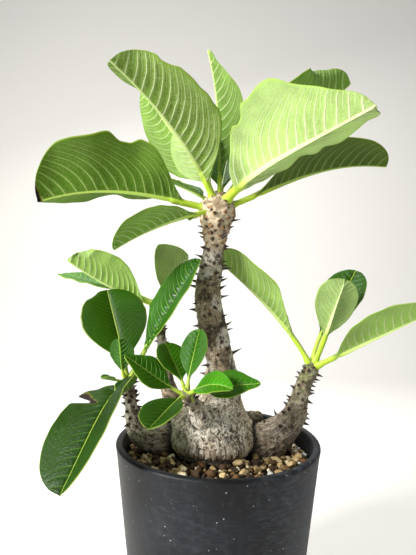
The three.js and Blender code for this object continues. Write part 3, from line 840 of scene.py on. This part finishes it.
def place_thorns(surface, lines, rng):
    """(root, way, length) of each thorn: the CAD's ones where they leave the drawn bark, and more between."""
    thorns = []
    for tip, way in thorn_tips():
        root = struck(surface, tip, -way, 12)
        if root is not None:
            thorns.append((root, unit(tip - root), np.linalg.norm(tip - root)))
    for name, (number, start, length) in EXTRA_THORNS.items():
        line, along, radius, _ = lines[name]
        for i in range(number):
            k = int((start + (1 - start) * ((i + rng.uniform()) / number) ** 0.8) * (len(line) - 1))
            way = way_round(along[k], i * GOLDEN_TURN + rng.uniform(-0.4, 0.4))
            root = struck(surface, line[k] + way * radius[k] * 3, -way, FAR_MM)
            # A ray that meets another limb first gives no thorn.
            if root is not None and np.linalg.norm(root - line[k]) < radius[k] * 1.6:
                lean = unit(way + along[k] * rng.uniform(-0.1, 0.45))
                thorns.append((root, lean, length * rng.uniform(0.55, 1.15)))
    return thorns


def place_scars(surface, trunk, rng):
    """(place, radius) of old leaf scars in a spiral below the trunk's crown, and of knobs over its end."""
    line, along, radius, _ = trunk
    scars = []
    for i in range(SCARS):
        k = len(line) - 1 - int(i * SCAR_STEP)
        way = way_round(along[k], i * GOLDEN_TURN + 0.5)
        place = struck(surface, line[k] + way * 30, -way, FAR_MM)
        if place is not None:
            scars.append((place, rng.uniform(1.5, 2.4)))
    for i in range(CROWN_KNOBS):
        out = way_round(along[-1], i * GOLDEN_TURN) * radius[-1] * math.sqrt((i + 0.5) / CROWN_KNOBS)
        place = struck(surface, line[-1] + out + along[-1] * 30, -along[-1], FAR_MM)
        if place is not None:
            scars.append((place, rng.uniform(1.3, 2.2)))
    return scars


def read(vertices, key):
    """The places or normals of a mesh's points."""
    numbers = np.empty(len(vertices) * 3)
    vertices.foreach_get(key, numbers)
    return numbers.reshape(-1, 3)


def build_stem():
    """The bark with its thorns. Gives the places of the bark's points in millimetres."""
    rng = np.random.default_rng(7)
    lines = {name: limb_line(points) for name, points in LIMBS_MM.items()}
    data = joined_limbs(lines)
    co, out = read(data.vertices, "co") / MM, read(data.vertices, "normal")
    radial, ahead, run, share, limb, best, second = where_on_limbs(co, lines)
    on_limb = {name: limb == number for number, name in enumerate(lines)}
    grain = radial + ahead * (run * 0.22)[:, None]
    height = co[:, 2] - MIX_TOP_MM
    caudex = ramp_between(CAUDEX_END_MM, CAUDEX_FULL_MM, height) * ~on_limb["middle"]

    surface = BVHTree.FromPolygons([Vector(p) for p in co], [tuple(f.vertices) for f in data.polygons])
    thorns = place_thorns(surface, lines, rng)
    scars = place_scars(surface, lines["trunk"], rng)
    scar_tree = tree_of([place for place, _ in scars])
    # Distances from shaken places make the scars' outlines uneven.
    shaken = co + 0.9 * np.stack([noise_at(co + shift, 1 / 2.5, 3) for shift in (0, 40, 80)], axis=1)
    near_scar = [scar_tree.find(Vector(p)) for p in shaken]
    scar = np.array([found[2] / scars[found[1]][1] for found in near_scar])
    thorn_tree = tree_of([place for place, _, _ in thorns])
    near_thorn = np.array([thorn_tree.find(Vector(p))[2] for p in co])

    big = noise_at(co, 1 / 14, 3)
    small = noise_at(co, 1 / 3.6, 3)
    furrow = noise_at(grain, 1 / 1.9, 3)
    girth = np.clip(np.linalg.norm(radial, axis=1) / 20, 0.12, 1)
    rib = noise_at(grain + 30, 1 / 3.4, 2)
    lift = big * LUMP_MM * girth + small * FLECK_MM
    ripple = -np.clip(0.2 - np.abs(furrow), 0, 1) * FURROW_MM + RIB_MM * rib
    lift += ripple * (0.25 + 0.75 * caudex)
    lift += THORN_SWELL_MM * np.exp(-((near_thorn / 1.3) ** 2))
    sides = np.abs(co[:, 0]) > CREASE_FROM_MM
    crease = np.exp(-(((second - best) / 0.09) ** 2)) * sides * ramp_between(45, 25, height)
    lift -= CREASE_MM * crease
    lift -= UNDERCUT_MM * ramp_between(9, -2, height) * on_limb["trunk"]
    from_end = lines["trunk"][3][-1] - run
    on_scar = ramp_between(30, 20, from_end) * on_limb["trunk"]
    scar_lift = SCAR_RISE_MM * ramp_between(1.1, 0.5, scar) - SCAR_PIT_MM * ramp_between(0.35, 0.1, scar)
    lift += scar_lift * on_scar
    co = co + out * lift[:, None]
    data.vertices.foreach_set("co", (co * MM).ravel())

    crowns = np.array(list(CROWNS_MM.values()), float)
    to_crown = np.linalg.norm(co[:, None, :] - crowns[None], axis=2).min(axis=1)
    youth = np.where(on_limb["right"], 0.6, 0.25) * ramp_between(0.45, 0.9, share)
    youth = youth + ramp_between(14, 5, to_crown) * 0.4
    greyed = 1.0 * on_limb["right"] + 1.2 * on_limb["stub"] + 0.5 * on_limb["left"]
    at_thorn = np.exp(-((near_thorn / 1.2) ** 2))
    attributes = {
        "grain": grain,
        # relief holds the ripple and the creases, which the bark material paints with shade and highlights,
        # and how grey each limb is.
        "relief": np.stack([np.clip(0.52 + ripple * 0.6, 0, 1), crease, greyed], axis=1),
        "bark": np.stack([caudex, youth, on_scar], axis=1),
        "marks": np.stack([scar, at_thorn, ramp_between(3.5, -1, height)], axis=1),
    }
    data.materials.clear()
    bark = linked("stem_bark", dressed(data, bark_material(), attributes))
    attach(bark, "root")
    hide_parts("stem")
    build_thorns(thorns, rng)
    return co


def build_thorns(thorns, rng):
    """Slightly bent spines with flared roots."""
    sides = 7
    # Shares of a thorn's length, and how wide it is there in mm.
    stations = np.array([-0.25, 0, 0.08, 0.22, 0.45, 0.7, 0.9, 1])
    widths = np.array([1.6, 1.35, 1.15, 0.92, 0.66, 0.4, 0.19, 0.04])
    turn = np.linspace(0, 2 * np.pi, sides, endpoint=False)
    points, faces, tags = [], [], []
    for root, way, length in thorns:
        thick = rng.uniform(0.8, 1.05)
        side = unit(np.cross(way, rng.normal(size=3)))
        other = np.cross(way, side)
        bend = side * rng.uniform(0, 0.16) * length
        first = len(points)
        for t, w in zip(stations, widths):
            centre = root + way * length * t + bend * max(t, 0) ** 2
            for a in turn:
                points.append(centre + thick * w * (np.cos(a) * side + np.sin(a) * other))
                tags.append((max(t, 0), rng.uniform(), 0))
        faces += [[first + i for i in face] for face in tube_faces(len(stations), sides)]
    mesh_piece("stem_thorns", points, faces, thorn_material(), "bark", {"thorn": tags})


def thorn_material():
    paint = Paint("thorn")
    run = paint.attribute("thorn")[0]
    streaks = paint.noise(1400, 3)
    colour = paint.layers(
        "5e4c3a",
        (run.spot(0.0, 0.3), "271a12"),
        (streaks.spot(0.55, 0.75) * 0.6, "8d7c64"),
        (run.spot(0.75, 1.0) * 0.5, "6b4a30"),
    )
    return paint.finish(paint.shader(colour, streaks * 0.3 + 0.45, paint.bump(streaks, 0.0001)))


def bark_material():
    paint = Paint("bark")
    caudex, youth, scarred = paint.attribute("bark")
    scar, at_thorn, low = paint.attribute("marks")
    ridge, crease, greyed = paint.attribute("relief")
    grain = paint.vector("grain")
    broad = paint.noise(38, 4, 0.6)
    patch = paint.noise(70, 3, 0.5, 0.3)
    blotch = paint.noise(95, 5, 0.65, 0.6)
    fleck = paint.noise(420, 4, 0.6)
    fine = paint.noise(1500, 4, 0.65)
    wrinkle = paint.noise(0.55, 5, 0.62, 0.4, grain)
    crack = paint.noise(1.3, 4, 0.6, 0.8, grain)

    trunk = paint.layers(
        "3a2c20",
        (blotch.spot(0.36, 0.6), "a08d72"),
        (patch.spot(0.5, 0.6), "d3cbbd"),
        (fleck.spot(0.47, 0.38) * 0.85, "1f1610"),
        (fleck.spot(0.57, 0.68) * 0.6, "e6dfd0"),
    )
    limb = paint.layers("443429", (fleck.spot(0.4, 0.6), "a5937b"), (crack.spot(0.56, 0.66) * 0.8, "cfcabc"))
    swollen = paint.layers(
        "f5deba",
        (broad.spot(0.35, 0.62), "fff6e4"),
        (blotch.spot(0.58, 0.78) * 0.35, "b99c76"),
        (crack.spot(0.49, 0.41) * 0.8, "5c3a1e"),
        # Painted highlights on the raised strokes.
        (crack.spot(0.52, 0.62) * 0.8, "fffaf0"),
        # Painted shade in the ripple's furrows and painted highlights on its ridges.
        (ridge.spot(0.42, 0.1) * 0.85, "4c301b"),
        (ridge.spot(0.6, 0.9) * 0.6, "fbf4e4"),
        (greyed * 0.75, limb),
    )
    young = paint.layers("4f5a2c", (fleck.spot(0.4, 0.65), "8f9160"))
    knobs = paint.layers(
        "7d5634",
        (fleck.spot(0.38, 0.6), "b58e60"),
        (scar.spot(0.62, 0.95), "cdbd9e"),
        (fleck.spot(0.46, 0.36) * 0.8, "3a2517"),
        # Painted shade in each scar's pit.
        (scar.spot(0.3, 0.12), "2e1c11"),
        (scar.spot(1.5, 2.2) * 0.8, "8a7050"),
    )
    colour = paint.layers(
        trunk,
        (caudex, swollen),
        (wrinkle.spot(0.44, 0.38) * 0.6, "3b2918"),
        (youth * blotch.spot(0.3, 0.6), young),
        (scarred * 0.9, knobs),
        (at_thorn * 0.6, "463221"),
        (low * 0.45, "5e482c"),
        # Painted shade in the creases where the side limbs leave the trunk.
        (crease * 0.85, "1c130c"),
    )
    relief = wrinkle + crack * 0.6 + fleck * 0.45 + fine * 0.2
    return paint.finish(paint.shader(colour, fleck * 0.35 + 0.55, paint.bump(relief, 0.0015)))


bark_points = build_stem()

# ---------------------------------------------------------------- pot

POT_SIDES = 192
WALL_MM = 4.2
FLOOR_MM = 6
ROUND_MM = 1.6
DRAIN_MM = 4.5
DRAIN_RING_MM = 17


def turned(profile, sides):
    """Points and faces of a closed profile turned about Z. The profile's ends lie on the axis."""
    turn = np.linspace(0, 2 * np.pi, sides, endpoint=False)
    points = [(0, 0, profile[0][1])]
    for r, z in profile[1:-1]:
        points += [(r * math.cos(a), r * math.sin(a), z) for a in turn]
    points.append((0, 0, profile[-1][1]))
    last = len(points) - 1
    faces = []
    for j in range(sides):
        n = (j + 1) % sides
        faces.append((0, 1 + n, 1 + j))
        faces.append((last, last - sides + j, last - sides + n))
        for i in range(len(profile) - 3):
            a, b = 1 + i * sides + j, 1 + i * sides + n
            faces.append((a, b, b + sides, a + sides))
    return points, faces


def rounded(cx, cz, start, steps=6):
    """A quarter turn of points round (cx, cz) from that angle."""
    angles = [math.radians(start + 90 * i / steps) for i in range(steps + 1)]
    return [(cx + ROUND_MM * math.cos(a), cz + ROUND_MM * math.sin(a)) for a in angles]


def build_pot():
    co = np.array([v.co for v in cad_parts["pot"].data.vertices]) / MM
    radius = np.hypot(co[:, 0], co[:, 1])
    base = radius[co[:, 2] < 0.01].max() + ROUND_MM

    def outer(z):
        return base + (RIM_MM - base) * z / POT_TOP_MM

    edge = POT_TOP_MM - ROUND_MM
    heights = np.linspace(ROUND_MM, edge, 30)[1:-1]
    profile = [(0, 0), *((r, 0) for r in (10, 24, 34))]
    profile += rounded(base - ROUND_MM, ROUND_MM, -90)
    profile += [(outer(z), z) for z in heights]
    profile += rounded(RIM_MM - ROUND_MM, edge, 0)
    profile += rounded(RIM_MM - WALL_MM + ROUND_MM, edge, 90)
    profile += [(outer(z) - WALL_MM, z) for z in heights[::-1] if z > FLOOR_MM + 2]
    profile += [(r, FLOOR_MM) for r in (outer(FLOOR_MM) - WALL_MM, 34, 10, 0)]
    made = mesh_piece("pot_body", *turned(profile, POT_SIDES), pot_material(), "pot")
    for i in range(4):
        angle = math.radians(45 + 90 * i)
        place = (DRAIN_RING_MM * MM * math.cos(angle), DRAIN_RING_MM * MM * math.sin(angle), 0)
        bpy.ops.mesh.primitive_cylinder_add(
            vertices=48, radius=DRAIN_MM * MM, depth=4 * FLOOR_MM * MM, location=place
        )
        cutter = bpy.context.object
        hole = made.modifiers.new("hole", "BOOLEAN")
        hole.operation, hole.solver, hole.object = "DIFFERENCE", "EXACT", cutter
        bpy.context.view_layer.objects.active = made
        bpy.ops.object.modifier_apply(modifier="hole")
        bpy.data.objects.remove(cutter)
    made.data.polygons.foreach_set("use_smooth", [True] * len(made.data.polygons))
    made.data.set_sharp_from_angle(angle=math.radians(40))
    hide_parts("pot")


def pot_material():
    paint = Paint("pot")
    x, y, z = paint.parts(paint.place)
    cloud = paint.noise(22, 5, 0.6, 0.4)
    mottle = paint.noise(160, 4, 0.6)
    grain = paint.noise(2600, 3, 0.6)
    dust = paint.cells(330).spot(0.14, 0.06) * paint.noise(300, 1).spot(0.5, 0.58)
    runs = paint.noise(260, 4, 0.6, place=paint.mapped((0.0, 0.0, 0.0), (1.0, 1.0, 0.12)))
    slanted = paint.noise(190, 7, 0.78, place=paint.mapped((0.0, 0.9, 0.0), (1.0, 1.0, 3.0)))
    # The scuffs lie mostly at the front right.
    rubbed = (x.spot(0.006, 0.04) * y.spot(0.01, -0.02)).most(cloud.spot(0.5, 0.66) * 0.3)
    scuff = rubbed * slanted.spot(0.42, 0.68)
    splash = z.spot(0.085, 0.113) * mottle.spot(0.55, 0.72)
    colour = paint.layers(
        "08090c",
        (cloud.spot(0.35, 0.65), "12151b"),
        (runs.spot(0.5, 0.7) * 0.3, "25282c"),
        (scuff * 0.6, "565b66"),
        (splash * 0.13, "5b564c"),
        (dust * 0.8, "b9b6ad"),
    )
    rough = cloud * 0.2 + 0.4 + scuff * 0.25
    relief = mottle * 0.5 + grain * 0.35
    return paint.finish(paint.shader(colour, rough, paint.bump(relief, 0.00022), 0.22))


build_pot()

# ---------------------------------------------------------------- potting mix and stones

MIX_RADIUS_MM = 54.4
MOUND_MM = 2.0
BED_DROP_MM = 2.7  # the fine stuff between the grains lies this far below their tops
BASE_INSIDE_MM = 46.4  # the bed's foot before the wall is taken off
BED_SIDES = 144
GRAIN_CUTS = 11
GRAIN_ROUGHNESS = 0.15
# The grains are laid in two sizes: (how far apart, smallest and largest half size, how deep a grain is
# sunk as a share of its half size, divisions of its ball).
COARSE = (4.6, (2.0, 3.3), 0.15, 3)
FINE = (3.0, (1.1, 1.8), 0.8, 2)


def mix_height(x, y):
    return MIX_TOP_MM + MOUND_MM * (1 - (np.hypot(x, y) / MIX_RADIUS_MM) ** 2)


def ball(divisions):
    bm = bmesh.new()
    bmesh.ops.create_icosphere(bm, subdivisions=divisions, radius=1)
    points = np.array([v.co for v in bm.verts])
    faces = np.array([[v.index for v in f.verts] for f in bm.faces])
    bm.free()
    return points, faces


BALLS = {n: ball(n) for n in (2, 3, 4)}


def pebble(rng, divisions):
    """A broken grain: a ball with flats where it split, and lumps between them."""
    points, faces = BALLS[divisions]
    points = points.copy()
    for way in unit(rng.normal(size=(GRAIN_CUTS, 3))):
        over = np.maximum(points @ way - rng.uniform(0.45, 0.82), 0)
        points -= over[:, None] * way * 0.92
    for scale in (2.2, 4.5, 7.5):
        waves = unit(rng.normal(size=(3, 3))) * scale
        lumps = np.sin(points @ waves.T + rng.uniform(0, 6, 3)).sum(1)
        points *= 1 + (GRAIN_ROUGHNESS / scale * lumps)[:, None]
    return points / np.abs(points).max(), faces


def scatter(name, grains, material, slot):
    """One piece of many grains, each (place, half sizes, divisions, seed)."""
    all_points, all_faces, tags, first = [], [], [], 0
    for place, half, divisions, seed in grains:
        rng = np.random.default_rng(seed)
        points, faces = pebble(rng, divisions)
        axes = np.linalg.qr(rng.normal(size=(3, 3)))[0]
        if np.linalg.det(axes) < 0:
            axes[:, 0] *= -1
        spin = np.array(Matrix.Rotation(rng.uniform(0, 2 * np.pi), 3, "Z"))
        all_points.append((points @ axes.T * half) @ spin.T + place)
        all_faces.append(faces + first)
        tags.append(np.tile(rng.uniform(size=3), (len(points), 1)))
        first += len(points)
    points, faces = np.concatenate(all_points), np.concatenate(all_faces).tolist()
    return mesh_piece(name, points, faces, material, slot, {"grain_kind": np.concatenate(tags)})


def grit_material(name, colours, pores):
    """colours run from dark to light. pores is how pitted the grain is."""
    paint = Paint(name)
    chance = paint.attribute("grain_kind")[0]
    mottle = paint.noise(420, 5, 0.65)
    fine = paint.noise(2200, 4, 0.7)
    pits = paint.cells(1500).spot(0.35, 0.12) * pores
    dark, middle, light = colours
    shade = rgb(middle, 0.55)
    colour = paint.layers(
        dark,
        (chance.spot(0.0, 0.55), middle),
        (chance.spot(0.55, 1.0), light),
        (mottle.spot(0.52, 0.36) * 0.55, shade),
        (mottle.spot(0.55, 0.7) * 0.4, light),
        (fine.spot(0.52, 0.65) * 0.25, light),
        (pits, shade),
    )
    relief = mottle + fine * 0.5 - pits
    return paint.finish(paint.shader(colour, mottle * 0.25 + 0.68, paint.bump(relief, 0.0005)))


def build_mix(bark_points):
    """The loose stones, the grains between them where they are clear of the bark, and the bed below."""
    rng = np.random.default_rng(21)
    finishes = {
        "akadama": grit_material("akadama", ("1d130a", "4a3218", "7d5a30"), 0.45),
        "pumice": grit_material("pumice", ("8a6c42", "c2a673", "f1e6c6"), 0.5),
        "quartz": grit_material("quartz", ("a9aba8", "cfd0cb", "e9e8e2"), 0.1),
    }
    tree = tree_of(bark_points)
    limbs = [limb_line(points) for points in LIMBS_MM.values()]
    lines, girths = (np.concatenate([limb[i] for limb in limbs]) for i in (0, 2))

    def is_free(x, y, z, size):
        """True if a grain there is clear of the bark and the pot."""
        if math.hypot(x, y) > MIX_RADIUS_MM - size * 0.9:
            return False
        inside = (np.linalg.norm(lines - (x, y, z), axis=1) < girths + size * 0.2).any()
        return not inside and tree.find(Vector((x, y, z)))[2] > size * 0.75

    stones = []
    for node in sorted(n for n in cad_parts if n.startswith("stone_")):
        low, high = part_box(node)
        middle = np.array((low + high) / 2) / MM
        half = np.array((high - low) / 2) / MM
        kind, number = node.split("_")[1:]
        grain = (middle, half.mean() * np.array([1.12, 1.0, 0.9]), 4, int(number))
        made = scatter(f"pebble_{kind}_{number}", [grain], finishes[kind], kind)
        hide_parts(node)
        stones.append((middle, half.mean()))
    piles = {kind: [] for kind in finishes}
    placed = [(m[0], m[1], r) for m, r in stones]
    seed = 100
    for pitch, sizes, sink, divisions in (COARSE, FINE):
        steps = int(MIX_RADIUS_MM / pitch) + 1
        for i in range(-steps, steps + 1):
            for j in range(-steps, steps + 1):
                x = (i + 0.5 * (j % 2)) * pitch + rng.uniform(-0.28, 0.28) * pitch
                y = j * pitch * 0.87 + rng.uniform(-0.28, 0.28) * pitch
                size = rng.uniform(*sizes)
                kind = rng.choice(list(piles), p=(0.6, 0.37, 0.03))
                flat = rng.uniform(0.68, 0.95)
                z = mix_height(x, y) - sink * size + rng.uniform(-0.35, 0.45) * size
                if divisions == 3 and any(math.hypot(x - a, y - b) < (r + size) * 0.72 for a, b, r in placed):
                    continue
                if not is_free(x, y, z, size):
                    continue
                seed += 1
                half = size * np.array([rng.uniform(1.0, 1.2), rng.uniform(0.85, 1.0), flat])
                piles[kind].append((np.array([x, y, z]), half, divisions, seed))
                if divisions == 3:
                    placed.append((x, y, size))
    for kind, grains in piles.items():
        scatter(f"grit_{kind}", grains, finishes[kind], kind)

    # The fine stuff that shows between the grains, down to the pot's floor. Its near-black colour is partly
    # the mix's own and partly painted shade in the gaps.
    base = BASE_INSIDE_MM - WALL_MM
    wide, deep = MIX_RADIUS_MM - base, MIX_TOP_MM - 4 - FLOOR_MM
    profile = [(0, FLOOR_MM + 0.4), (base, FLOOR_MM + 0.4)]
    profile += [(base + wide * t, FLOOR_MM + deep * t) for t in (0.5, 1)]
    profile += [(r, mix_height(r, 0) - BED_DROP_MM) for r in np.linspace(MIX_RADIUS_MM, 0, 44)]
    points, faces = turned(profile, BED_SIDES)
    points = np.array(points, float)
    top = points[:, 2] > MIX_TOP_MM - 3
    points[top, 2] += 0.8 * noise_at(points[top], 1 / 2.4, 3)
    bed = mesh_piece("grit_bed", points, faces, bed_material(), "mix")
    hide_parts("potting_mix")


def bed_material():
    paint = Paint("mix")
    crumb = paint.node("ShaderNodeSeparateColor", {0: paint.cells(900, output="Color")})
    clumps = paint.noise(300, 4, 0.6)
    # Partly the mix's own colour and partly painted shade in the gaps between the grains.
    colour = paint.layers(
        "160d07",
        (crumb, "33210f"),
        (crumb.spot(0.85, 0.95), "6e5836"),
        (clumps.spot(0.5, 0.35) * 0.6, "0c0805"),
    )
    relief = paint.cells(900, "DISTANCE_TO_EDGE").spot(0.0, 0.2) + clumps
    return paint.finish(paint.shader(colour, clumps * 0.2 + 0.75, paint.bump(relief, 0.0006)))


build_mix(bark_points)

# ---------------------------------------------------------------- floor, light and camera


def backdrop():
    """A pale floor that curves up into a wall behind."""
    depth, radius, height, half = 0.75, 0.35, 2.2, 3.0
    profile = [(-2.5, 0.0), (depth, 0.0)]
    for i in range(1, 17):
        angle = i / 16 * math.pi / 2
        profile.append((depth + radius * math.sin(angle), radius * (1 - math.cos(angle))))
    profile.append((depth + radius, height))
    points, faces = [], []
    for y, z in profile:
        points += [(-half, y, z), (half, y, z)]
    for i in range(len(profile) - 1):
        faces.append((2 * i, 2 * i + 1, 2 * i + 3, 2 * i + 2))
    data = bpy.data.meshes.new("backdrop")
    data.from_pydata(points, [], faces)
    data.polygons.foreach_set("use_smooth", [True] * len(faces))
    paint = Paint("backdrop")
    inputs = {"Base Color": (0.74, 0.73, 0.70, 1), "Roughness": 0.9}
    data.materials.append(paint.finish(paint.node("ShaderNodeBsdfPrincipled", inputs)))
    made = linked("backdrop", data)
    made.location.z = -0.0002  # just under the pot's base


backdrop()


def area_light(name, place, target, size, power, colour):
    data = bpy.data.lights.new(name, "AREA")
    data.shape = "DISK"
    data.size = size
    data.energy = power
    data.color = colour
    made = linked(name, data)
    made.location = place
    made.rotation_euler = (Vector(target) - Vector(place)).to_track_quat("-Z", "Y").to_euler()


area_light("key", (-0.85, -0.6, 0.66), (0, 0, 0.2), 0.35, 29, (1.0, 0.985, 0.95))
area_light("top", (-0.25, 0.3, 1.1), (0, 0, 0.25), 0.6, 13, (1.0, 0.99, 0.97))
area_light("fill", (0.9, -0.5, 0.4), (0, 0, 0.2), 0.9, 1.2, (0.95, 0.98, 1.0))

world = bpy.data.worlds.new("studio")
world.use_nodes = True
background = world.node_tree.nodes["Background"].inputs
background["Color"].default_value = (0.93, 0.95, 1.0, 1)
background["Strength"].default_value = 0.26
bpy.context.scene.world = world
bpy.context.scene.view_settings.view_transform = "Standard"

# The camera looks along +Y, a little to the left and up, and is tilted by a degree.
CAMERA_PLACE = Vector((0, -0.254, 0.202))
PITCH, YAW, ROLL = math.radians(-1.9), math.radians(-1.7), math.radians(1.0)
forward = Vector((math.sin(YAW) * math.cos(PITCH), math.cos(YAW) * math.cos(PITCH), -math.sin(PITCH)))
level = Vector((math.cos(YAW), -math.sin(YAW), 0))
above = level.cross(forward)
right = math.cos(ROLL) * level + math.sin(ROLL) * above
upward = -math.sin(ROLL) * level + math.cos(ROLL) * above
camera_data = bpy.data.cameras.new("camera")
camera_data.lens = 27
camera_data.sensor_width = 36
camera = linked("camera", camera_data)
turn = Matrix((right, upward, -forward)).transposed()
camera.matrix_world = Matrix.Translation(CAMERA_PLACE) @ turn.to_4x4()
bpy.context.scene.camera = camera
